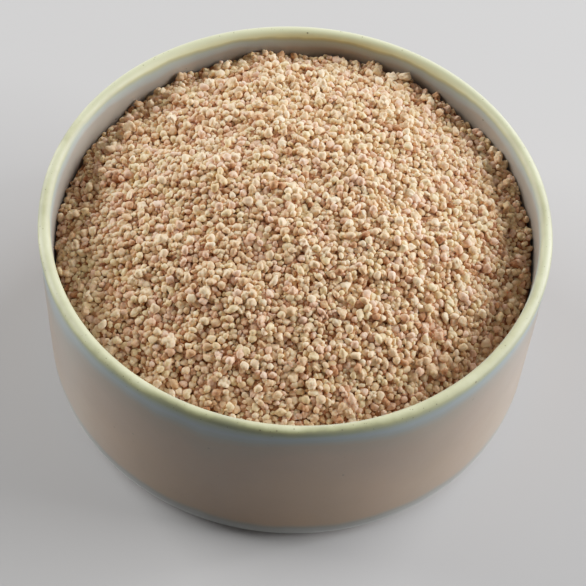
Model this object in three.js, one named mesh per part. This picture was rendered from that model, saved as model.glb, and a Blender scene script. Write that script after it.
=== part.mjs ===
// A straight-sided stoneware bowl heaped with dry spelt couscous.
// Millimetres, +Z up. The origin is the centre of the foot, on the surface that the bowl stands on.
// Seen from -Y, the heap lies a little higher against the back of the bowl than against its sides.

import * as THREE from "three";

// ---- driving dimensions of the bowl ----
const BOWL_HEIGHT = 49;
const RIM_RADIUS = 60; // outside, at the lip
const LIP_THICKNESS = 2.9; // the lip is fully rounded
const WALL_LOW_RADIUS = 59.1; // outside, where the wall starts to turn under
const WALL_LOW_THICKNESS = 3.6;
const CORNER_HEIGHT = 4.6; // where the wall starts to turn under
const CORNER_RADIUS_OUT = 3;
const CORNER_RADIUS_DOWN = 4; // it ends above the foot, so a thin dark line shows under the wall
const FOOT_OUTER_RADIUS = 54.2;
const FOOT_INNER_RADIUS = 50;
const FOOT_CHAMFER = 1.4;
const FOOT_RECESS = 1.8; // how far the underside is hollowed inside the foot ring
const FLOOR_HEIGHT = 5.5; // inside
const INNER_CORNER_RADIUS = 9;
const BOWL_SEGMENTS = 72;
const FOOT_CORNER_STEPS = 5;
const LIP_STEPS = 8;
const INNER_CORNER_STEPS = 4;

// ---- driving dimensions of the heap ----
const GAP = 0.3; // between the couscous and the glaze
const CREST_X = -1; // the heap's highest point lies off the bowl's axis
const CREST_Y = 6;
const CREST_HEIGHT = BOWL_HEIGHT + 5.2;
const CREST_POWER = 2.1; // a round mound: the higher, the flatter its top and the steeper its edge
const EDGE_DEPTH = 9.9; // of the heap's edge under the lip, on average round the bowl
const EDGE_TILT = 3.9; // higher at the back, lower at the front
const EDGE_SIDE_DROP = 0.5; // lower at both sides
const RELIEF_RINGS = 39; // rings of grain bumps from the middle to the wall
const GRAIN_RISE = [0.25, 1.05]; // of a bump's top over the mound
const GAP_SINK = [0.2, 0.7]; // of the hollows between the bumps, under it
const EDGE_SINK = 0.35; // the last ring lies this far under the mound, against the wall
const GRAIN_SCATTER = 0.22; // sideways, as a share of the spacing
const SIDE_COLUMNS_SHARE = 3; // below its relief the heap has one column for each 3 of the top's
const SEED = 20260;

// A repeatable random number from 0 to 1 (mulberry32).
function randomFrom(seed) {
  let state = seed >>> 0;
  return () => {
    state = (state + 0x6d2b79f5) >>> 0;
    let t = state;
    t = Math.imul(t ^ (t >>> 15), t | 1);
    t ^= t + Math.imul(t ^ (t >>> 7), t | 61);
    return ((t ^ (t >>> 14)) >>> 0) / 4294967296;
  };
}

const between = (low, high, share) => low + (high - low) * share;

// Points of an elliptic arc from one angle to the other, in degrees, with both ends.
function arc(centreR, centreZ, radiusR, radiusZ, fromDeg, toDeg, steps) {
  return Array.from({ length: steps + 1 }, (_, i) => {
    const angle = THREE.MathUtils.degToRad(between(fromDeg, toDeg, i / steps));
    return new THREE.Vector2(
      centreR + radiusR * Math.cos(angle),
      centreZ + radiusZ * Math.sin(angle),
    );
  });
}

// Share of the way up the straight wall.
const wallShare = (z) => (z - CORNER_HEIGHT) / (BOWL_HEIGHT - CORNER_HEIGHT);

function innerRadius(z) {
  const outer = between(WALL_LOW_RADIUS, RIM_RADIUS, wallShare(z));
  return outer - between(WALL_LOW_THICKNESS, LIP_THICKNESS, wallShare(z));
}

// The rounded turn from the wall to the floor inside the bowl, or the same turn at a gap from it.
function innerCorner(gap) {
  const top = FLOOR_HEIGHT + INNER_CORNER_RADIUS;
  const centre = innerRadius(top) - INNER_CORNER_RADIUS;
  const radius = INNER_CORNER_RADIUS - gap;
  return arc(centre, top, radius, radius, 0, -90, INNER_CORNER_STEPS);
}

// The bowl is one revolved wall, from the middle of its underside round the lip to the middle of its floor.
function bowlGeometry() {
  const lip = LIP_THICKNESS / 2;
  const profile = [
    new THREE.Vector2(0, FOOT_RECESS),
    new THREE.Vector2(FOOT_INNER_RADIUS - FOOT_CHAMFER, FOOT_RECESS),
    new THREE.Vector2(FOOT_INNER_RADIUS, 0),
    new THREE.Vector2(FOOT_OUTER_RADIUS, 0),
    ...arc(
      WALL_LOW_RADIUS - CORNER_RADIUS_OUT,
      CORNER_HEIGHT,
      CORNER_RADIUS_OUT,
      CORNER_RADIUS_DOWN,
      -90,
      0,
      FOOT_CORNER_STEPS,
    ),
    ...arc(RIM_RADIUS - lip, BOWL_HEIGHT - lip, lip, lip, 0, 180, LIP_STEPS),
    ...innerCorner(0),
    new THREE.Vector2(0, FLOOR_HEIGHT),
  ];
  return new THREE.LatheGeometry(profile, BOWL_SEGMENTS).rotateX(Math.PI / 2);
}

// Height of the smooth mound over a point of the bowl. On each line from the crest to the wall it falls by the
// same power of the way, to an edge that is highest at the back.
function moundHeight(x, y) {
  const reach = innerRadius(BOWL_HEIGHT - EDGE_DEPTH);
  const alongX = x - CREST_X;
  const alongY = y - CREST_Y;
  const away = Math.max(Math.hypot(alongX, alongY), 1e-6);
  const outward = (alongX * CREST_X + alongY * CREST_Y) / away;
  const toWall =
    Math.sqrt(outward ** 2 + reach ** 2 - CREST_X ** 2 - CREST_Y ** 2) -
    outward;
  const share = Math.min(away / toWall, 1);
  const angle = Math.atan2(y, x);
  const edgeHeight =
    BOWL_HEIGHT -
    EDGE_DEPTH +
    EDGE_TILT * Math.sin(angle) -
    EDGE_SIDE_DROP * Math.cos(2 * angle);
  return between(CREST_HEIGHT, edgeHeight, share ** CREST_POWER);
}

// The heap is one closed solid. Its top is a disc of hexagonal rings: ring k has 6 k points, so the points lie
// evenly, and every third one in each direction is the top of a grain.
function heapGeometry() {
  const random = randomFrom(SEED);
  const positions = [];
  const faces = [];
  const addPoint = (x, y, z) => positions.push(x, y, z) / 3 - 1;
  const addPolar = (radius, angle, z) =>
    addPoint(radius * Math.cos(angle), radius * Math.sin(angle), z);
  const topRadius = innerRadius(BOWL_HEIGHT - EDGE_DEPTH) - GAP;
  const spacing = topRadius / RELIEF_RINGS;

  const rings = [
    [addPoint(0, 0, moundHeight(0, 0) + between(...GRAIN_RISE, random()))],
  ];
  for (let ring = 1; ring <= RELIEF_RINGS; ring++) {
    const count = 6 * ring;
    const atWall = ring === RELIEF_RINGS;
    rings.push(
      Array.from({ length: count }, (_, i) => {
        const isGrain = (ring + (i % ring)) % 3 === 0;
        const lift = isGrain
          ? between(...GRAIN_RISE, random() ** 2)
          : -between(...GAP_SINK, random());
        const scatter = atWall ? 0 : spacing * GRAIN_SCATTER;
        const radius = ring * spacing + scatter * (2 * random() - 1);
        const turn = (scatter * (2 * random() - 1)) / radius;
        const angle = (i / count) * 2 * Math.PI + turn;
        const height = moundHeight(
          radius * Math.cos(angle),
          radius * Math.sin(angle),
        );
        return addPolar(radius, angle, height + (atWall ? -EDGE_SINK : lift));
      }),
    );
  }

  // Between two rings, each of the six sectors has one triangle more on the outer ring than on the inner one.
  for (let ring = 1; ring <= RELIEF_RINGS; ring++) {
    const inner = rings[ring - 1];
    const outer = rings[ring];
    for (let sector = 0; sector < 6; sector++) {
      for (let i = 0; i < ring; i++) {
        const out = sector * ring + i;
        const into = sector * (ring - 1) + i;
        const a = inner[into % inner.length];
        faces.push(a, outer[out], outer[(out + 1) % outer.length]);
        if (i < ring - 1) {
          faces.push(a, outer[out + 1], inner[(into + 1) % inner.length]);
        }
      }
    }
  }

  // The side goes straight down the bowl's wall and round its inner corner, in fewer columns than the top.
  const columns = (6 * RELIEF_RINGS) / SIDE_COLUMNS_SHARE;
  const side = innerCorner(GAP).map(({ x: radius, y: z }) =>
    Array.from({ length: columns }, (_, i) =>
      addPolar(radius, (i / columns) * 2 * Math.PI, z),
    ),
  );
  const edge = rings[RELIEF_RINGS];
  for (let i = 0; i < columns; i++) {
    const next = (i + 1) % columns;
    const first = SIDE_COLUMNS_SHARE * i;
    for (let step = 0; step < SIDE_COLUMNS_SHARE; step++) {
      const corner = step < SIDE_COLUMNS_SHARE / 2 ? side[0][i] : side[0][next];
      faces.push(
        edge[first + step],
        corner,
        edge[(first + step + 1) % edge.length],
      );
    }
    const middle = edge[first + Math.ceil(SIDE_COLUMNS_SHARE / 2)];
    faces.push(middle, side[0][i], side[0][next]);
    for (let level = 1; level < side.length; level++) {
      const [above, below] = [side[level - 1], side[level]];
      faces.push(above[i], below[i], below[next]);
      faces.push(above[i], below[next], above[next]);
    }
  }
  const bottom = side[side.length - 1];
  const centre = addPoint(0, 0, FLOOR_HEIGHT + GAP);
  for (let i = 0; i < columns; i++) {
    faces.push(centre, bottom[(i + 1) % columns], bottom[i]);
  }

  const geometry = new THREE.BufferGeometry();
  geometry.setAttribute(
    "position",
    new THREE.Float32BufferAttribute(positions, 3),
  );
  geometry.setIndex(faces);
  geometry.computeVertexNormals();
  return geometry;
}

const glaze = new THREE.MeshStandardMaterial({
  name: "glaze",
  color: 0xb3a596,
  roughness: 0.45,
  metalness: 0,
});
const grain = new THREE.MeshStandardMaterial({
  name: "grain",
  color: 0xd8b58a,
  roughness: 0.85,
  metalness: 0,
});

const bowl = new THREE.Mesh(bowlGeometry(), glaze);
bowl.name = "bowl";

const couscous = new THREE.Mesh(heapGeometry(), grain);
couscous.name = "couscous";

const dish = new THREE.Group();
dish.name = "dish_of_couscous";
dish.add(bowl, couscous);

export default dish;
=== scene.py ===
"""The looks of a stoneware bowl heaped with dry spelt couscous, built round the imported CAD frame.

The shapes are worked out in millimetres and become metres only in `make_object`. The bowl is one revolved
wall. The couscous is a core with relief of grain size, under a settled layer of loose grains in several
kinds, each kind one joined mesh.
"""

import math

import bmesh
import bpy
import numpy as np
from mathutils import Matrix, Vector, kdtree


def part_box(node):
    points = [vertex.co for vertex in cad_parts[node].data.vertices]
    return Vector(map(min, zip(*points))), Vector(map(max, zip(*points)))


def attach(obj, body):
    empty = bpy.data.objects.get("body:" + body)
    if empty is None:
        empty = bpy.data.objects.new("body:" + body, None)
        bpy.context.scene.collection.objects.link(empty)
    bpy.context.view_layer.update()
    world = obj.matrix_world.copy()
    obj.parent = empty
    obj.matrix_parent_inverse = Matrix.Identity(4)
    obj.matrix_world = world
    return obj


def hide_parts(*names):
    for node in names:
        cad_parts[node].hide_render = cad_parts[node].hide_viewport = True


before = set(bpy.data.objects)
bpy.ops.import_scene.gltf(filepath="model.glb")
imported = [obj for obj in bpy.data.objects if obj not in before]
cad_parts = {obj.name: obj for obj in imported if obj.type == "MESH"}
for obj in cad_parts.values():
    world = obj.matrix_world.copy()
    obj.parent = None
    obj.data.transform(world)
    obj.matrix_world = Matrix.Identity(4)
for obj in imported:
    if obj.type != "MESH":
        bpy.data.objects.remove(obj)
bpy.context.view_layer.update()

MM = 0.001
BODY = "root"
SEED = 4711

# ---- the bowl, from the frame's sizes and the same driving dimensions as the solid (mm) ----
bowl_low, bowl_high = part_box("bowl")
RIM_RADIUS = (bowl_high.x - bowl_low.x) / 2 / MM
BOWL_HEIGHT = bowl_high.z / MM
LIP_THICKNESS = 2.9
WALL_LOW_RADIUS = RIM_RADIUS - 0.9
WALL_LOW_THICKNESS = 3.6
CORNER_HEIGHT = 4.6
CORNER_RADIUS = (3.0, 4.0)
FOOT_OUTER_RADIUS = 54.2
FOOT_INNER_RADIUS = 50.0
FOOT_CHAMFER = 1.4
FOOT_RECESS = 1.8
FLOOR_HEIGHT = 5.5
INNER_CORNER_RADIUS = 9.0
MIDDLE_RADIUS = 6.0  # both flats end in a fan of triangles inside this
OUT_OF_ROUND = 0.22
OUT_OF_LEVEL = 0.2
BOWL_SEGMENTS = 216
PROFILE_STEP = 3.2

# ---- the glaze (mm, and the scales of its noises in waves a metre) ----
BAND_SPAN = 50.0  # the colour bands under the lip run over this depth
BAND_DRIFT = 0.5  # how far they wander up and down
BAND_STRETCH = (0.55, 1.6)
FRONT_Y = (-60.0, -44.0)
FRONT_PAINTED_SHADE = 0.55  # the bands start higher on the front of the lip: painted shade on the side that faces away from the lights
BACK_Y = (25.0, 55.0)
BANDS_LOWER_AT_BACK = 1.5  # and lower on its back
RIGHT_X = (5.0, 45.0)
WIDE_ON_RIGHT = 0.68  # there the outside's depth counts by this share only
FOOT_BAND_SPAN = 10.0
FOOT_BAND_EDGE = (5.4, 7.8)
RUNS_SCALE = 90.0
RUNS_LENGTH = 4.0  # as many times as long as they are wide
STRETCH_SCALE = 26.0
CLOUD_SCALE = 38.0
CLOUD_BRIGHTNESS = (0.93, 1.06)
WALL_SPECKS = (330.0, 0.34)  # scale and largest size
LIP_SPECKS = (1400.0, 0.5)
LIP_SPECK_DEPTH = (1.2, 2.4)
SPECK_STRENGTH = 0.75
SATIN_SCALE = 55.0
SATIN_ROUGHNESS = (0.3, 0.36)
DULL_LIP_DEPTH = (1.0, 4.0)
DULL_LIP_ROUGHNESS = 0.25  # more than the wall's
PIT_SCALE = 900.0
SOFT_SCALE = 160.0
GLAZE_RELIEF = 0.05

# ---- the texture of a grain (mm, and scales as above) ----
MOTTLE_SCALE = 1100.0
MOTTLE_SPREAD = 0.5  # up and down the ramp of tones
TINGE_SCALE = 560.0
TINGE_STRENGTH = 0.5
GRANULE_SCALE = 1500.0
GRANULE_DEPTH = 0.09
GRAIN_GLOW = 0.6  # how far the light goes into it

# ---- the heap (mm) ----
GAP = 0.3
CREST = (-1.0, 6.0)
CREST_HEIGHT = BOWL_HEIGHT + 5.2
CREST_POWER = 2.1
EDGE_DEPTH = 9.75
EDGE_TILT = 3.7
EDGE_SIDE_DROP = 0.15
EDGE_DIP = 1.4  # a hollow in the edge, behind on the left
EDGE_DIP_AT = math.radians(140)
EDGE_DIP_WIDTH = math.radians(30)
SWELL = (24.0, 0.35)  # length and height of each size of wave on the mound
RIPPLE = (9.0, 0.22)
SLIP = (6.0, 0.5)  # only near the edge, where the heap has slid
SLIP_POWER = 8

# ---- the core under the loose grains (mm) ----
CORE_RINGS = 112
CORE_SIDE_STEPS = 4
CORE_DEPTH = 2.3  # of its lowest hollows under the mound
BURIED_SPACING = 1.35
BURIED_RADIUS = 0.72
BURIED_UNEVENNESS = 0.2
BURIED_DEPTH = 1.3
BURIED_SCATTER = 0.4
BURIED_NEIGHBOURS = 5

# ---- the loose grains (mm) ----
BED_DEPTH = 2.1  # they lie on a bed this far under the mound
WALL_CLEARANCE = 0.1
LAYER_INSET = 0.7
GRAIN_SPACING = 1.29
GRAIN_RADIUS = 0.75
GRAIN_UNEVENNESS = 0.27  # of the radii, as the spread of their logarithm
GRAIN_RANGE = (0.45, 1.04)
GRAIN_LIFT = (-1.1, 0.8)
LUMP_SHARE = 0.02  # of the grains are lumps that have stuck together
LUMP_RANGE = (1.05, 1.5)
CLUSTER_SHARE = 0.13  # of the grains gather their neighbours into a cluster
CLUSTER_REACH = 1.5
LONER_SHARE = 0.35  # of the grains have a kind of their own inside a cluster
MESH_FREQUENCY = [(0.87, 2), (1.05, 3), (math.inf, 6)]  # up to a radius, how often each side is split
TONE_OF_CLUSTER = 0.55  # the rest of a grain's tone is its own

# ---- how the grains settle (mm) ----
SETTLE_ROUNDS = 9
SETTLE_STEPS = 9
SINK = 0.03
PUSH = 0.45
LOOSE_REACH = 0.95  # of the sum of two radii, when they only touch
STUCK_REACH = 0.73  # and when they have grown together
BED_SHARE = 0.6  # a grain's centre stays at least this share of its radius above the bed
NEAR_SLACK = 0.4

# ---- the form of one grain, of radius 1 ----
GRAIN_BALLS = (6, 11)
GRAIN_BALL_OFFSET = (0.4, 0.72)
GRAIN_BALL_SIZE = (0.34, 0.56)
LUMP_BALLS = (22, 30)
LUMP_BALL_OFFSET = (0.62, 0.86)
LUMP_BALL_SIZE = (0.24, 0.36)
HEART_RADIUS = 0.66
CUTTING_PLANES = 6
PLANE_DISTANCE = (0.68, 1.0)
EDGE_HARDNESS = 10.0
GRAIN_STRETCH = (0.8, 1.25)
SHAPES_PER_KIND = 32

# ---- the photograph's view ----
FRAME_PIXELS = 586
SENSOR_MM = 36.0
FOCAL_PIXELS = 1978.0
CAMERA_ELEVATION = math.radians(54.4)
CAMERA_ROLL = math.radians(4.0)
CAMERA_DISTANCE = 480.0 * MM
AIM_RIGHT = 0.2 * MM
AIM_UP = -4.16 * MM

# ---- the light ----
WINDOW_DISTANCE = 1.2
WINDOWS = [  # name, azimuth, elevation, width and height in metres, watts, colour
    ("left_window", 295, 17.5, (0.9, 0.9), 23.0, (1.0, 1.0, 0.99)),
    ("back_window", 55, 18.5, (0.9, 0.9), 22.0, (0.99, 1.0, 1.02)),
    ("right_window", 87, 17.5, (0.6, 0.9), 17.0, (1.0, 1.0, 1.0)),
]
ROOM_WALL = (0.12, 0.03)  # up to this sine of the elevation, the room is this bright
ROOM_CEILING = (0.4, 0.11)  # and above this one
TONE_GAIN = 2.5
TONE_WHITE = 1.43
TONE_POINTS = (0.03, 0.08, 0.17, 0.32, 0.55, 0.8)
FLOOR_SIZE = 6.0


# ------------------------------------------------------------------ small helpers


def between(low, high, share):
    return low + (high - low) * share


def srgb(red, green, blue):
    """A colour as seen in the photograph, 0 to 255, as linear RGBA."""
    values = [c / 255 for c in (red, green, blue)]
    linear = [c / 12.92 if c <= 0.04045 else ((c + 0.055) / 1.055) ** 2.4 for c in values]
    return (*linear, 1.0)


# The glaze by depth under the lip, as a share of BAND_SPAN: yellow-green, blue-grey, then the body.
OUTSIDE_BANDS = [
    (0.0, srgb(198, 200, 154)),
    (0.005, srgb(182, 183, 136)),
    (0.01, srgb(156, 157, 113)),
    (0.016, srgb(134, 135, 100)),
    (0.024, srgb(123, 127, 100)),
    (0.034, srgb(116, 123, 106)),
    (0.048, srgb(110, 120, 116)),
    (0.066, srgb(105, 116, 119)),
    (0.095, srgb(100, 107, 104)),
    (0.12, srgb(105, 100, 89)),
    (0.15, srgb(110, 96, 79)),
    (0.3, srgb(119, 98, 78)),
    (0.6, srgb(127, 102, 77)),
    (1.0, srgb(131, 104, 76)),
]
INSIDE_BANDS = [
    (0.0, srgb(198, 200, 154)),
    (0.008, srgb(180, 179, 135)),
    (0.016, srgb(163, 164, 127)),
    (0.028, srgb(149, 156, 136)),
    (0.042, srgb(148, 158, 151)),
    (0.065, srgb(149, 154, 149)),
    (0.1, srgb(149, 140, 128)),
    (1.0, srgb(147, 129, 113)),
]
# The glaze by height over the foot, as a share of FOOT_BAND_SPAN: a grey band, whose lowest stops are
# painted contact shadow.
FOOT_BAND_AND_CONTACT_SHADE = [
    (0.0, srgb(48, 45, 41)),
    (0.1, srgb(84, 82, 78)),
    (0.2, srgb(112, 111, 107)),
    (0.32, srgb(126, 125, 121)),
    (0.48, srgb(116, 116, 112)),
    (0.6, srgb(104, 102, 94)),
    (0.72, srgb(110, 103, 90)),
]
SPECK = srgb(78, 68, 48)
FLOOR = srgb(180, 179, 179)

# Each kind of grain from its darkest tone to its palest.
BLUSH = srgb(216, 160, 128)
CREAM = [(0.0, srgb(220, 181, 134)), (0.5, srgb(234, 203, 160)), (1.0, srgb(239, 211, 174))]
STRAW = [(0.0, srgb(212, 174, 125)), (0.5, srgb(226, 195, 147)), (1.0, srgb(233, 205, 160))]
BEIGE = [(0.0, srgb(208, 164, 119)), (0.5, srgb(225, 189, 147)), (1.0, srgb(233, 201, 162))]
ROSY = [(0.0, srgb(208, 157, 120)), (0.5, srgb(224, 181, 149)), (1.0, srgb(232, 194, 166))]
TAN = [(0.0, srgb(193, 145, 100)), (0.5, srgb(212, 171, 129)), (1.0, srgb(226, 189, 149))]
RUSSET = [(0.0, srgb(146, 89, 50)), (0.5, srgb(180, 127, 86)), (1.0, srgb(210, 163, 122))]
LUMP = [(0.0, srgb(216, 177, 132)), (0.5, srgb(229, 196, 155)), (1.0, srgb(238, 209, 171))]
# The core, seen in the gaps between the loose grains, is darker than they are: painted shade in the gaps.
CORE_WITH_PAINTED_SHADE = [(0.0, srgb(124, 70, 34)), (0.5, srgb(152, 98, 58)), (1.0, srgb(186, 134, 92))]
KINDS = [  # name, share of the grains, tones
    ("cream", 0.18, CREAM),
    ("straw", 0.2, STRAW),
    ("beige", 0.24, BEIGE),
    ("rosy", 0.2, ROSY),
    ("tan", 0.14, TAN),
    ("russet", 0.04, RUSSET),
]


def make_object(name, points, faces, material, replaces=()):
    """A mesh piece from points in mm, riding on the root body."""
    points = np.asarray(points, np.float64) * MM
    faces = np.asarray(faces, np.int32)
    mesh = bpy.data.meshes.new(name)
    mesh.vertices.add(len(points))
    mesh.vertices.foreach_set("co", points.astype(np.float32).ravel())
    corners = faces.shape[1]
    mesh.loops.add(faces.size)
    mesh.loops.foreach_set("vertex_index", faces.ravel())
    mesh.polygons.add(len(faces))
    mesh.polygons.foreach_set("loop_start", np.arange(0, faces.size, corners, dtype=np.int32))
    mesh.polygons.foreach_set("use_smooth", np.ones(len(faces), bool))
    mesh.update(calc_edges=True)
    mesh.validate()
    mesh.materials.append(material)
    obj = bpy.data.objects.new(name, mesh)
    bpy.context.scene.collection.objects.link(obj)
    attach(obj, BODY)
    for node in replaces:
        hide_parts(node)
    return obj


def add_attribute(obj, name, values):
    """One number for each vertex, which the material reads by its name."""
    attribute = obj.data.attributes.new(name, "FLOAT", "POINT")
    attribute.data.foreach_set("value", np.asarray(values, np.float32))


class Waves:
    """Smooth unevenness over the plane: a sum of sine waves of about one length, from -1 to 1 or so."""

    def __init__(self, random, length, count=9):
        turn = random.uniform(0, 2 * np.pi, count)
        number = 2 * np.pi / (length * random.uniform(0.7, 1.5, count))
        self.kx = number * np.cos(turn)
        self.ky = number * np.sin(turn)
        self.phase = random.uniform(0, 2 * np.pi, count)
        self.share = 1.3 / math.sqrt(count)

    def __call__(self, x, y):
        angle = np.multiply.outer(x, self.kx) + np.multiply.outer(y, self.ky) + self.phase
        return np.sin(angle).sum(axis=-1) * self.share


# ------------------------------------------------------------------ node helpers


class Shader:
    """A material's node tree, with short calls for the nodes that are used here."""

    def __init__(self, name):
        self.material = bpy.data.materials.new(name)
        self.material.use_nodes = True
        self.tree = self.material.node_tree
        self.tree.nodes.clear()
        self.surface = self.add("ShaderNodeBsdfPrincipled")
        output = self.add("ShaderNodeOutputMaterial")
        self.tree.links.new(self.surface.outputs["BSDF"], output.inputs["Surface"])

    def feed(self, socket, value):
        if isinstance(value, bpy.types.NodeSocket):
            self.tree.links.new(value, socket)
        else:
            socket.default_value = value

    def add(self, kind, inputs=None, **settings):
        node = self.tree.nodes.new(kind)
        for key, value in settings.items():
            setattr(node, key, value)
        for key, value in (inputs or {}).items():
            self.feed(node.inputs[key], value)
        return node

    def set(self, **inputs):
        """Sets inputs of the surface: underscores stand for spaces."""
        for key, value in inputs.items():
            self.feed(self.surface.inputs[key.replace("_", " ")], value)

    def math(self, operation, first, second=0.0, third=0.0):
        inputs = {0: first, 1: second, 2: third}
        return self.add("ShaderNodeMath", inputs, operation=operation).outputs[0]

    def remap(self, value, low, high, to_low=0.0, to_high=1.0, smooth=True):
        inputs = {
            "Value": value,
            "From Min": low,
            "From Max": high,
            "To Min": to_low,
            "To Max": to_high,
        }
        kind = "SMOOTHSTEP" if smooth else "LINEAR"
        return self.add("ShaderNodeMapRange", inputs, interpolation_type=kind).outputs["Result"]

    def noise(self, scale, vector, detail=3.0, roughness=0.5):
        inputs = {"Scale": scale, "Vector": vector, "Detail": detail, "Roughness": roughness}
        return self.add("ShaderNodeTexNoise", inputs).outputs["Fac"]

    def cells(self, scale, vector, feature):
        """A Voronoi texture: in each cell a colour, and the distance from its point."""
        inputs = {"Vector": vector, "Scale": scale}
        return self.add("ShaderNodeTexVoronoi", inputs, feature=feature).outputs

    def specks(self, vector, scale, largest):
        """One in a speck and zero between them: each cell has one of its own size, or none."""
        cells = self.cells(scale, vector, "F1")
        size = self.math("SUBTRACT", self.math("MULTIPLY", cells["Color"], largest), 0.2)
        return self.math("LESS_THAN", cells["Distance"], size)

    def ramp(self, factor, stops, interpolation="EASE"):
        node = self.add("ShaderNodeValToRGB", {"Fac": factor})
        node.color_ramp.interpolation = interpolation
        elements = node.color_ramp.elements
        while len(elements) > 1:
            elements.remove(elements[-1])
        elements[0].position, elements[0].color = stops[0]
        for place, colour in stops[1:]:
            elements.new(place).color = colour
        return node.outputs["Color"]

    def mix(self, factor, first, second, blend="MIX"):
        node = self.add("ShaderNodeMix", data_type="RGBA", blend_type=blend)
        self.feed(node.inputs["Factor"], factor)
        self.feed(node.inputs["A"], first)
        self.feed(node.inputs["B"], second)
        return node.outputs["Result"]

    def place(self):
        return self.add("ShaderNodeTexCoord").outputs["Object"]

    def attribute(self, name):
        return self.add("ShaderNodeAttribute", attribute_name=name).outputs["Fac"]

    def bump(self, height, distance, strength=1.0):
        inputs = {"Height": height, "Distance": distance, "Strength": strength}
        return self.add("ShaderNodeBump", inputs).outputs["Normal"]


# ------------------------------------------------------------------ materials


def glaze_material():
    """Satin glaze: yellow-green where it thins over the lip, a blue-grey break below it, a taupe body."""
    shader = Shader("glaze")
    place = shader.place()
    axes = shader.add("ShaderNodeSeparateXYZ", {"Vector": place})
    x, y, z = (axes.outputs[axis] for axis in "XYZ")
    across = shader.math("MULTIPLY", x, x)
    along = shader.math("MULTIPLY", y, y)
    radius = shader.math("SQRT", shader.math("ADD", across, along))
    depth = shader.math("SUBTRACT", BOWL_HEIGHT * MM, z)
    lip_middle = (RIM_RADIUS - LIP_THICKNESS / 2) * MM
    is_outside = shader.remap(radius, lip_middle - 0.6 * MM, lip_middle + 0.2 * MM)

    # The glaze has run, so its bands are drawn out downwards, by more in one place than in another.
    flattened = {"Vector": place, "Scale": (1.0, 1.0, 1.0 / RUNS_LENGTH)}
    runs_place = shader.add("ShaderNodeMapping", flattened).outputs[0]
    runs = shader.noise(RUNS_SCALE, runs_place, detail=4.0, roughness=0.6)
    drift = shader.remap(runs, 0.25, 0.75, -BAND_DRIFT * MM, BAND_DRIFT * MM, smooth=False)
    # Painted shade: on the front, which faces away from the lights, the darker bands start sooner.
    front_painted_shade = shader.remap(y, FRONT_Y[0] * MM, FRONT_Y[1] * MM, FRONT_PAINTED_SHADE * MM, 0.0)
    at_back = shader.remap(y, BACK_Y[0] * MM, BACK_Y[1] * MM, 0.0, -BANDS_LOWER_AT_BACK * MM)
    start = shader.math("ADD", drift, shader.math("ADD", front_painted_shade, at_back))
    uneven = shader.noise(STRETCH_SCALE, runs_place)
    stretch = shader.remap(uneven, 0.3, 0.7, *BAND_STRETCH, smooth=False)
    shifted = shader.math("MULTIPLY_ADD", depth, stretch, start)
    share = shader.math("DIVIDE", shifted, BAND_SPAN * MM)
    wider = shader.remap(x, RIGHT_X[0] * MM, RIGHT_X[1] * MM, 1.0, WIDE_ON_RIGHT)
    outside = shader.ramp(shader.math("MULTIPLY", share, wider), OUTSIDE_BANDS)
    inside = shader.ramp(share, INSIDE_BANDS)
    banded = shader.mix(is_outside, inside, outside)

    # It has run to the foot too, and stands there as a grey band with a wavy upper edge; its darkest bottom
    # is painted contact shadow where the foot meets the floor.
    wavy = shader.math("ADD", z, drift)
    foot_band_and_shade = shader.ramp(shader.math("DIVIDE", wavy, FOOT_BAND_SPAN * MM), FOOT_BAND_AND_CONTACT_SHADE)
    near_foot = shader.remap(wavy, FOOT_BAND_EDGE[0] * MM, FOOT_BAND_EDGE[1] * MM, 1.0, 0.0)
    banded = shader.mix(shader.math("MULTIPLY", near_foot, is_outside), banded, foot_band_and_shade)

    clouds = shader.noise(CLOUD_SCALE, place, detail=5.0, roughness=0.6)
    cloud = shader.remap(clouds, 0.3, 0.7, *CLOUD_BRIGHTNESS)
    grey = shader.add("ShaderNodeCombineColor", {0: cloud, 1: cloud, 2: cloud}).outputs[0]
    mottled = shader.mix(1.0, banded, grey, "MULTIPLY")

    # Dark iron specks: a few on the wall and many tiny ones along the outside of the lip.
    on_wall = shader.specks(place, *WALL_SPECKS)
    on_lip = shader.specks(place, *LIP_SPECKS)
    near_lip = shader.remap(depth, LIP_SPECK_DEPTH[0] * MM, LIP_SPECK_DEPTH[1] * MM, 1.0, 0.0)
    on_lip = shader.math("MULTIPLY", on_lip, shader.math("MULTIPLY", near_lip, is_outside))
    speck = shader.math("MULTIPLY", shader.math("MAXIMUM", on_wall, on_lip), SPECK_STRENGTH)

    satin = shader.remap(shader.noise(SATIN_SCALE, place, detail=4.0), 0.3, 0.7, *SATIN_ROUGHNESS)
    dull_lip = shader.remap(depth, DULL_LIP_DEPTH[0] * MM, DULL_LIP_DEPTH[1] * MM, DULL_LIP_ROUGHNESS, 0.0)
    pits = shader.noise(PIT_SCALE, place, detail=2.0)
    soft = shader.noise(SOFT_SCALE, place)
    height = shader.math("ADD", shader.math("MULTIPLY", pits, 0.25), soft)
    shader.set(
        Base_Color=shader.mix(speck, mottled, SPECK),
        Roughness=shader.math("ADD", satin, dull_lip),
        Specular_IOR_Level=0.5,
        IOR=1.5,
        Sheen_Weight=0.22,
        Sheen_Roughness=0.35,
        Sheen_Tint=(0.9, 0.96, 0.98, 1.0),
        Normal=shader.bump(height, GLAZE_RELIEF * MM, 0.5),
    )
    return shader.material


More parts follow.
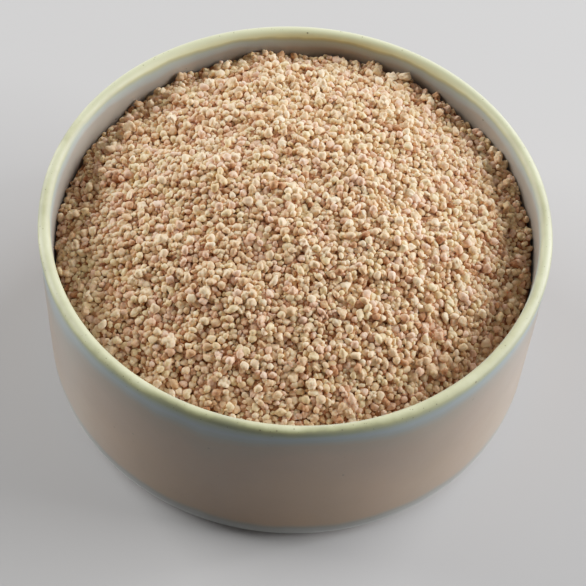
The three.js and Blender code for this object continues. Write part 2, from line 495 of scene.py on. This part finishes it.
def grain_material(name, tones):
    """Dull grain: each one has its own tone on the ramp, mottled, with a pinkish tinge here and there."""
    shader = Shader(name)
    place = shader.place()
    mottle = shader.noise(MOTTLE_SCALE, place, roughness=0.6)
    blotch = shader.remap(mottle, 0.3, 0.7, -MOTTLE_SPREAD, MOTTLE_SPREAD, smooth=False)
    tone = shader.math("ADD", shader.attribute("tone"), blotch)
    tinge = shader.remap(shader.noise(TINGE_SCALE, place, detail=2.0), 0.5, 0.72, 0.0, TINGE_STRENGTH)
    granules = shader.cells(GRANULE_SCALE, place, "SMOOTH_F1")["Distance"]
    shader.set(
        Base_Color=shader.mix(tinge, shader.ramp(tone, tones, "LINEAR"), BLUSH),
        Roughness=0.7,
        Specular_IOR_Level=0.2,
        Sheen_Weight=0.12,
        Sheen_Roughness=0.5,
        Sheen_Tint=(1.0, 0.98, 0.96, 1.0),
        Subsurface_Weight=0.35,
        Subsurface_Radius=(1.0, 0.8, 0.6),
        Subsurface_Scale=GRAIN_GLOW * MM,
        Normal=shader.bump(shader.math("SUBTRACT", 1.0, granules), GRANULE_DEPTH * MM),
    )
    return shader.material


def floor_material():
    shader = Shader("floor")
    shader.set(Base_Color=FLOOR, Roughness=0.8, Specular_IOR_Level=0.2)
    return shader.material


# ------------------------------------------------------------------ the bowl


def arc(centre_r, centre_z, radius_r, radius_z, from_deg, to_deg, steps):
    angles = np.radians(np.linspace(from_deg, to_deg, steps + 1))
    return np.stack([centre_r + radius_r * np.cos(angles), centre_z + radius_z * np.sin(angles)], axis=1)


def inner_radius(z):
    """Of the wall's inside, at a height."""
    share = (z - CORNER_HEIGHT) / (BOWL_HEIGHT - CORNER_HEIGHT)
    outer = between(WALL_LOW_RADIUS, RIM_RADIUS, share)
    return outer - between(WALL_LOW_THICKNESS, LIP_THICKNESS, share)


def resample(profile, step):
    """The same outline with points no further apart than the step."""
    points = [profile[0]]
    for start, end in zip(profile[:-1], profile[1:]):
        count = max(1, math.ceil(np.linalg.norm(end - start) / step))
        points.extend(start + (end - start) * i / count for i in range(1, count + 1))
    return np.array(points)


def bowl_profile():
    """From the middle of the underside round the lip to the middle of the floor, with soft foot edges."""
    lip = LIP_THICKNESS / 2
    corner_top = FLOOR_HEIGHT + INNER_CORNER_RADIUS
    inner_centre = inner_radius(corner_top) - INNER_CORNER_RADIUS
    outer_centre = WALL_LOW_RADIUS - CORNER_RADIUS[0]
    return np.concatenate(
        [
            [[MIDDLE_RADIUS, FOOT_RECESS], [FOOT_INNER_RADIUS - FOOT_CHAMFER - 0.4, FOOT_RECESS]],
            [[FOOT_INNER_RADIUS - FOOT_CHAMFER, FOOT_RECESS - 0.15]],
            [[FOOT_INNER_RADIUS - 0.3, 0.2], [FOOT_INNER_RADIUS + 0.1, 0.0]],
            [[FOOT_OUTER_RADIUS - 0.2, 0.0], [FOOT_OUTER_RADIUS + 0.1, 0.15]],
            arc(outer_centre, CORNER_HEIGHT, *CORNER_RADIUS, -90, 0, 14),
            arc(RIM_RADIUS - lip, BOWL_HEIGHT - lip, lip, lip, 0, 180, 20),
            arc(inner_centre, corner_top, INNER_CORNER_RADIUS, INNER_CORNER_RADIUS, 0, -90, 10),
            [[MIDDLE_RADIUS, FLOOR_HEIGHT]],
        ]
    )


def make_bowl(random):
    segments = BOWL_SEGMENTS
    profile = resample(bowl_profile(), PROFILE_STEP)
    angle = np.linspace(0, 2 * np.pi, segments, endpoint=False)
    rings = len(profile)
    radius = np.repeat(profile[:, 0][:, None], segments, axis=1)
    height = np.repeat(profile[:, 1][:, None], segments, axis=1)

    # Thrown by hand: the wall is a hair out of round and its lip a hair out of level.
    up = np.clip(height / BOWL_HEIGHT, 0, 1)
    for order in (2, 3, 5):
        swing = random.uniform(-1, 1) / order
        turn = random.uniform(0, 2 * np.pi)
        wave = np.sin(order * angle + turn)
        radius += OUT_OF_ROUND * swing * wave * up * (radius > FOOT_INNER_RADIUS)
        height += OUT_OF_LEVEL * swing * np.cos(order * angle + turn) * up**6
    points = np.stack([radius * np.cos(angle), radius * np.sin(angle), height], axis=-1).reshape(-1, 3)

    ring, column = np.meshgrid(np.arange(rings - 1), np.arange(segments), indexing="ij")
    after = (column + 1) % segments
    below, below_after = ring * segments + column, ring * segments + after
    above, above_after = (ring + 1) * segments + column, (ring + 1) * segments + after
    quads = np.stack([below, below_after, above_after, above], axis=-1).reshape(-1, 4)

    first, last = len(points), len(points) + 1
    points = np.vstack([points, [[0, 0, FOOT_RECESS], [0, 0, FLOOR_HEIGHT]]])
    columns = np.arange(segments)
    nexts = (columns + 1) % segments
    top = (rings - 1) * segments
    fans = np.concatenate(
        [
            np.stack([np.full(segments, first), nexts, columns], axis=1),
            np.stack([np.full(segments, last), top + columns, top + nexts], axis=1),
        ]
    )
    triangles = np.concatenate([quads[:, [0, 1, 2]], quads[:, [0, 2, 3]], fans])
    make_object("stoneware_bowl", points, triangles, glaze_material(), ["bowl"])


# ------------------------------------------------------------------ the heap's form


def make_mound(random):
    """The heap's smooth top, as a function of x and y: the solid's mound with small waves."""
    swell = Waves(random, SWELL[0])
    ripple = Waves(random, RIPPLE[0])
    slip = Waves(random, SLIP[0])

    def mound(x, y):
        reach = inner_radius(BOWL_HEIGHT - EDGE_DEPTH)
        along_x, along_y = x - CREST[0], y - CREST[1]
        away = np.maximum(np.hypot(along_x, along_y), 1e-6)
        towards = (along_x * CREST[0] + along_y * CREST[1]) / away
        to_wall = np.sqrt(towards**2 + reach**2 - CREST[0] ** 2 - CREST[1] ** 2) - towards
        share = np.minimum(away / to_wall, 1.0)
        angle = np.arctan2(y, x)
        edge = BOWL_HEIGHT - EDGE_DEPTH + EDGE_TILT * np.sin(angle) - EDGE_SIDE_DROP * np.cos(2 * angle)
        edge = edge - EDGE_DIP * np.exp(-(((angle - EDGE_DIP_AT) / EDGE_DIP_WIDTH) ** 2))
        smooth = between(CREST_HEIGHT, edge, share**CREST_POWER)
        waves = smooth + SWELL[1] * swell(x, y) + RIPPLE[1] * ripple(x, y)
        return waves + SLIP[1] * share**SLIP_POWER * slip(x, y)

    return mound


def spread(random, spacing, reach):
    """Points evenly but unevenly spread over a disc: a triangular lattice, each point moved at random."""
    row_step = spacing * math.sqrt(3) / 2
    count = math.ceil(reach / row_step) + 1
    rows, columns = np.meshgrid(np.arange(-count, count + 1), np.arange(-count, count + 1), indexing="ij")
    x = (columns + 0.5 * (rows % 2)) * spacing
    y = rows * row_step
    x = x + random.uniform(-0.5, 0.5, x.shape) * spacing
    y = y + random.uniform(-0.5, 0.5, y.shape) * spacing
    inside = np.hypot(x, y) < reach
    return x[inside], y[inside]


def near_pairs(centres, radii, slack):
    """Pairs of grains that touch or nearly do."""
    tree = kdtree.KDTree(len(centres))
    for index, centre in enumerate(centres):
        tree.insert(centre, index)
    tree.balance()
    widest = radii.max()
    first, second = [], []
    for index, centre in enumerate(centres):
        for _, other, distance in tree.find_range(centre, radii[index] + widest + slack):
            if other > index and distance < radii[index] + radii[other] + slack:
                first.append(index)
                second.append(other)
    return np.array(first), np.array(second)


def settle(centres, radii, cluster, bed):
    """Lets the grains sink onto the bed and push each other aside, inside the bowl's wall."""
    count = len(centres)
    for _ in range(SETTLE_ROUNDS):
        first, second = near_pairs(centres, radii, NEAR_SLACK)
        stuck = cluster[first] == cluster[second]
        reach = (radii[first] + radii[second]) * np.where(stuck, STUCK_REACH, LOOSE_REACH)
        for _ in range(SETTLE_STEPS):
            apart = centres[second] - centres[first]
            distance = np.maximum(np.linalg.norm(apart, axis=1), 1e-6)
            overlap = np.maximum(reach - distance, 0)
            push = apart / distance[:, None] * (overlap * PUSH)[:, None]
            for axis in range(3):
                centres[:, axis] += np.bincount(second, push[:, axis], count)
                centres[:, axis] -= np.bincount(first, push[:, axis], count)
            centres[:, 2] -= SINK
            lowest = bed(centres[:, 0], centres[:, 1]) + radii * BED_SHARE
            centres[:, 2] = np.maximum(centres[:, 2], lowest)
            room = inner_radius(centres[:, 2]) - WALL_CLEARANCE - radii
            out = np.hypot(centres[:, 0], centres[:, 1])
            squeeze = np.minimum(1.0, room / np.maximum(out, 1e-6))
            centres[:, :2] *= squeeze[:, None]
    return centres


# ------------------------------------------------------------------ the core with its relief


def disc_faces(rings):
    """Triangles of a disc of hexagonal rings, ring k having 6 k points, the middle point first."""
    faces = []
    for ring in range(1, rings + 1):
        outer = 1 + 3 * ring * (ring - 1)
        inner = 1 + 3 * (ring - 1) * (ring - 2) if ring > 1 else 0
        outer_count, inner_count = 6 * ring, max(6 * (ring - 1), 1)
        sector, step = np.meshgrid(np.arange(6), np.arange(ring), indexing="ij")
        out = sector * ring + step
        into = sector * (ring - 1) + step
        near = inner + into % inner_count
        far = outer + out
        far_next = outer + (out + 1) % outer_count
        faces.append(np.stack([near, far, far_next], axis=-1).reshape(-1, 3))
        if ring > 1:
            keep = step < ring - 1
            near_next = inner + (into + 1) % inner_count
            faces.append(np.stack([near, far_next, near_next], axis=-1)[keep])
    return np.concatenate(faces)


def make_core(random, mound, material):
    """The heap's body, out to the wall and the floor, with bumps of grain size on top."""
    rings = CORE_RINGS
    reach = inner_radius(BOWL_HEIGHT - EDGE_DEPTH) - GAP
    ring = np.repeat(np.arange(1, rings + 1), 6 * np.arange(1, rings + 1))
    step = np.concatenate([np.arange(6 * k) for k in range(1, rings + 1)])
    radius = np.concatenate([[0], ring * reach / rings])
    angle = np.concatenate([[0], step / (6 * ring) * 2 * np.pi])
    x, y = radius * np.cos(angle), radius * np.sin(angle)

    # Buried grains: the relief is the highest of the nearest ones' round tops.
    grain_x, grain_y = spread(random, BURIED_SPACING, reach)
    grains = len(grain_x)
    size = np.exp(random.normal(math.log(BURIED_RADIUS), BURIED_UNEVENNESS, grains))
    scatter = random.uniform(-BURIED_SCATTER, BURIED_SCATTER, grains)
    grain_z = mound(grain_x, grain_y) - BURIED_DEPTH - size + scatter
    tree = kdtree.KDTree(grains)
    for index in range(grains):
        tree.insert((grain_x[index], grain_y[index], 0), index)
    tree.balance()
    hits = [tree.find_n((px, py, 0), BURIED_NEIGHBOURS) for px, py in zip(x, y)]
    near = np.array([[index for _, index, _ in found] for found in hits])
    away = np.hypot(grain_x[near] - x[:, None], grain_y[near] - y[:, None])
    rise = np.sqrt(np.maximum(size[near] ** 2 - away**2, 0))
    top = np.where(away < size[near], grain_z[near] + rise, -np.inf).max(axis=1)
    lowest = mound(x, y) - CORE_DEPTH
    at_wall = radius > reach - 0.01
    z = np.where(at_wall, lowest, np.maximum(top, lowest))

    points = [np.stack([x, y, z], axis=1)]
    faces = [disc_faces(rings)]
    columns = 6 * rings
    above = 1 + 3 * rings * (rings - 1)
    corner_top = FLOOR_HEIGHT + INNER_CORNER_RADIUS
    centre = inner_radius(corner_top) - INNER_CORNER_RADIUS
    turn = INNER_CORNER_RADIUS - GAP
    side_angle = np.arange(columns) / columns * 2 * np.pi
    count = len(x)
    along = np.arange(columns)
    after = (along + 1) % columns
    for side_r, side_z in arc(centre, corner_top, turn, turn, 0, -90, CORE_SIDE_STEPS):
        side_x, side_y = side_r * np.cos(side_angle), side_r * np.sin(side_angle)
        points.append(np.stack([side_x, side_y, np.full(columns, side_z)], axis=1))
        faces.append(np.stack([above + along, count + along, count + after], axis=1))
        faces.append(np.stack([above + along, count + after, above + after], axis=1))
        above = count
        count += columns
    points.append([[0, 0, FLOOR_HEIGHT + GAP]])
    faces.append(np.stack([np.full(columns, count), above + after, above + along], axis=1))
    points, faces = np.concatenate(points), np.concatenate(faces)
    core = make_object("couscous_core", points, faces, material, ["couscous"])
    tone = np.full(len(points), 0.5)
    tone[: len(x)] = random.uniform(0.1, 0.9, grains)[near[:, 0]]
    add_attribute(core, "tone", tone)


# ------------------------------------------------------------------ loose grains


def sphere_mesh(frequency):
    """Points and triangles of a unit sphere: an icosahedron, each side of it split in frequency parts."""
    form = bmesh.new()
    bmesh.ops.create_icosphere(form, subdivisions=1, radius=1.0)
    corners = np.array([v.co for v in form.verts])
    faces = np.array([[v.index for v in f.verts] for f in form.faces])
    form.free()
    points, known, triangles = [], {}, []

    def number(point):
        point = point / np.linalg.norm(point)
        key = tuple(np.round(point, 5))
        if key not in known:
            known[key] = len(points)
            points.append(point)
        return known[key]

    for a, b, c in corners[faces]:
        rows = [
            [number(a * (frequency - i) + b * (i - j) + c * j) for j in range(i + 1)]
            for i in range(frequency + 1)
        ]
        for i in range(frequency):
            for j in range(i + 1):
                triangles.append((rows[i][j], rows[i + 1][j], rows[i + 1][j + 1]))
                if j < i:
                    triangles.append((rows[i][j], rows[i + 1][j + 1], rows[i][j + 1]))
    return np.array(points), np.array(triangles)


def crumb(random, directions, is_lump):
    """A crushed grain or a lump of them: balls stuck together, with blunt edges where soft planes cut it."""
    if is_lump:
        balls, offset_range, size_range = LUMP_BALLS, LUMP_BALL_OFFSET, LUMP_BALL_SIZE
    else:
        balls, offset_range, size_range = GRAIN_BALLS, GRAIN_BALL_OFFSET, GRAIN_BALL_SIZE
    count = random.integers(*balls)
    offsets = random.normal(size=(count, 3))
    offsets *= (random.uniform(*offset_range, count) / np.linalg.norm(offsets, axis=1))[:, None]
    sizes = random.uniform(*size_range, count)
    along = directions @ offsets.T
    inside = along**2 - (offsets**2).sum(axis=1) + sizes**2
    exits = np.where(inside > 0, along + np.sqrt(np.maximum(inside, 0)), 0)
    reach = np.maximum(exits.max(axis=1), HEART_RADIUS)
    planes = random.normal(size=(CUTTING_PLANES, 3))
    planes /= np.linalg.norm(planes, axis=1)[:, None]
    facing = np.maximum(directions @ planes.T, 0) / random.uniform(*PLANE_DISTANCE, CUTTING_PLANES)
    cut = (reach**-EDGE_HARDNESS + (facing**EDGE_HARDNESS).sum(axis=1)) ** (-1 / EDGE_HARDNESS)
    shape = directions * cut[:, None] * random.uniform(*GRAIN_STRETCH, 3)
    return shape / np.cbrt((np.linalg.norm(shape, axis=1) ** 3).mean())


def random_turns(random, count):
    """Rotation matrices, evenly spread."""
    w, x, y, z = (random.normal(size=(count, 4)) + 1e-9).T
    size = np.sqrt(w * w + x * x + y * y + z * z)
    w, x, y, z = w / size, x / size, y / size, z / size
    return np.stack(
        [
            np.stack([1 - 2 * (y * y + z * z), 2 * (x * y - z * w), 2 * (x * z + y * w)], axis=1),
            np.stack([2 * (x * y + z * w), 1 - 2 * (x * x + z * z), 2 * (y * z - x * w)], axis=1),
            np.stack([2 * (x * z - y * w), 2 * (y * z + x * w), 1 - 2 * (x * x + y * y)], axis=1),
        ],
        axis=1,
    )


def grain_mesh(random, centres, radii, tones, frequency):
    """Points, triangles and tones of some grains, each a turned copy of one of a few shapes."""
    directions, faces = sphere_mesh(frequency)
    is_lump = radii.min() >= LUMP_RANGE[0]
    shapes = np.array([crumb(random, directions, is_lump) for _ in range(SHAPES_PER_KIND)])
    which = random.integers(0, SHAPES_PER_KIND, len(centres))
    turned = np.einsum("nij,nkj->nki", random_turns(random, len(centres)), shapes[which])
    points = turned * radii[:, None, None] + centres[:, None, :]
    starts = np.arange(len(centres)) * len(directions)
    all_faces = faces[None, :, :] + starts[:, None, None]
    return points.reshape(-1, 3), all_faces.reshape(-1, 3), np.repeat(tones, len(directions))


def make_grains(random, name, centres, radii, tones, material):
    """One joined mesh of all the grains of a kind: the larger the grain, the finer its mesh."""
    all_points, all_faces, all_tones = [], [], []
    count = 0
    low = 0.0
    for high, frequency in MESH_FREQUENCY:
        chosen = (radii >= low) & (radii < high)
        low = high
        if not chosen.any():
            continue
        grains = centres[chosen], radii[chosen], tones[chosen]
        points, faces, point_tones = grain_mesh(random, *grains, frequency)
        all_points.append(points)
        all_faces.append(faces + count)
        all_tones.append(point_tones)
        count += len(points)
    faces = np.concatenate(all_faces)
    piece = make_object(name, np.concatenate(all_points), faces, material)
    add_attribute(piece, "tone", np.concatenate(all_tones))


def make_clusters(random, centres):
    """For each grain the number of the cluster it has stuck to, or its own where it lies loose."""
    cluster = np.arange(len(centres))
    seeds = np.flatnonzero(random.random(len(centres)) < CLUSTER_SHARE)
    tree = kdtree.KDTree(len(seeds))
    for seed in seeds:
        tree.insert((*centres[seed, :2], 0), int(seed))
    tree.balance()
    for grain, centre in enumerate(centres):
        _, seed, distance = tree.find((*centre[:2], 0))
        if distance < CLUSTER_REACH:
            cluster[grain] = seed
    return cluster


def make_couscous():
    random = np.random.default_rng(SEED)
    mound = make_mound(random)
    # The core's darker tones are painted shade in the gaps between the grains.
    make_core(random, mound, grain_material("buried_grain_painted_shade", CORE_WITH_PAINTED_SHADE))

    def bed(x, y):
        return mound(x, y) - BED_DEPTH

    x, y = spread(random, GRAIN_SPACING, inner_radius(BOWL_HEIGHT - EDGE_DEPTH) - LAYER_INSET)
    count = len(x)
    sizes = np.exp(random.normal(math.log(GRAIN_RADIUS), GRAIN_UNEVENNESS, count))
    radii = np.clip(sizes, *GRAIN_RANGE)
    lumps = random.random(count) < LUMP_SHARE
    radii[lumps] = random.uniform(*LUMP_RANGE, lumps.sum())
    z = mound(x, y) - radii + random.uniform(*GRAIN_LIFT, count)
    centres = np.stack([x, y, z], axis=1)
    cluster = make_clusters(random, centres)
    centres = settle(centres, radii, cluster, bed)

    # A cluster has about one tone and one kind; a grain now and then goes its own way.
    own = random.random(count) < LONER_SHARE
    shared_tone = TONE_OF_CLUSTER * random.random(count)[cluster]
    own_tone = (1 - TONE_OF_CLUSTER) * random.random(count)
    tones = np.clip(shared_tone + own_tone, 0, 1)
    kinds = np.where(own, random.random(count), random.random(count)[cluster])
    low = 0.0
    for name, share, stops in KINDS:
        chosen = (kinds >= low) & (kinds < low + share) & ~lumps
        low += share
        material = grain_material(f"{name}_grain", stops)
        make_grains(random, f"{name}_grains", centres[chosen], radii[chosen], tones[chosen], material)
    make_grains(random, "lumps", centres[lumps], radii[lumps], tones[lumps], grain_material("lump", LUMP))


# ------------------------------------------------------------------ floor, light and camera


def make_floor():
    bpy.ops.mesh.primitive_plane_add(size=FLOOR_SIZE)
    floor = bpy.context.object
    floor.name = "floor"
    floor.data.materials.append(floor_material())


def make_window(name, azimuth, elevation, size, power, colour):
    """An area light that faces the bowl. Azimuth 0 is behind the bowl, and it turns to the right."""
    turn, lift = math.radians(azimuth), math.radians(elevation)
    away = Vector((math.sin(turn) * math.cos(lift), math.cos(turn) * math.cos(lift), math.sin(lift)))
    data = bpy.data.lights.new(name, "AREA")
    data.shape = "RECTANGLE"
    data.size, data.size_y = size
    data.energy = power
    data.color = colour
    light = bpy.data.objects.new(name, data)
    light.location = away * WINDOW_DISTANCE
    light.rotation_mode = "QUATERNION"
    light.rotation_quaternion = away.to_track_quat("Z", "Y")
    light.visible_camera = False
    bpy.context.scene.collection.objects.link(light)


def make_lighting():
    """A dim room with three low windows: one on the left, one on the right and one behind."""
    world = bpy.data.worlds.new("studio")
    world.use_nodes = True
    tree = world.node_tree
    background = tree.nodes["Background"]
    axes = tree.nodes.new("ShaderNodeSeparateXYZ")
    tree.links.new(tree.nodes.new("ShaderNodeTexCoord").outputs["Generated"], axes.inputs[0])
    ramp = tree.nodes.new("ShaderNodeValToRGB")
    tree.links.new(axes.outputs["Z"], ramp.inputs["Fac"])
    tree.links.new(ramp.outputs["Color"], background.inputs["Color"])
    for element, (place, brightness) in zip(ramp.color_ramp.elements, (ROOM_WALL, ROOM_CEILING)):
        element.position = place
        element.color = (brightness, brightness, brightness, 1)
    bpy.context.scene.world = world
    for window in WINDOWS:
        make_window(*window)


def make_tone_curve():
    """The camera's response: light shadows, and a soft shoulder that goes on above white."""
    view = bpy.context.scene.view_settings
    view.view_transform = "Standard"
    view.use_curve_mapping = True
    mapping = view.curve_mapping
    mapping.white_level = (TONE_WHITE, TONE_WHITE, TONE_WHITE)
    curve = mapping.curves[3]
    for light in TONE_POINTS:
        curve.points.new(light, TONE_GAIN * light / (1 + (TONE_GAIN - 1) * light))
    mapping.update()


def make_camera():
    back = Vector((0, -math.cos(CAMERA_ELEVATION), math.sin(CAMERA_ELEVATION)))
    right = Vector((1, 0, 0))
    up = back.cross(right)
    rolled_right = right * math.cos(CAMERA_ROLL) + up * math.sin(CAMERA_ROLL)
    rolled_up = up * math.cos(CAMERA_ROLL) - right * math.sin(CAMERA_ROLL)
    aim = Vector((0, 0, BOWL_HEIGHT * MM / 2)) + rolled_right * AIM_RIGHT + rolled_up * AIM_UP
    data = bpy.data.cameras.new("camera")
    data.sensor_width = SENSOR_MM
    data.lens = SENSOR_MM * FOCAL_PIXELS / FRAME_PIXELS
    data.clip_start = 0.01
    data.clip_end = 20
    camera = bpy.data.objects.new("camera", data)
    turn = Matrix((rolled_right, rolled_up, back)).transposed().to_4x4()
    camera.matrix_world = Matrix.Translation(aim + back * CAMERA_DISTANCE) @ turn
    bpy.context.scene.collection.objects.link(camera)
    bpy.context.scene.camera = camera


make_bowl(np.random.default_rng(SEED + 1))
make_couscous()
make_floor()
make_lighting()
make_tone_curve()
make_camera()
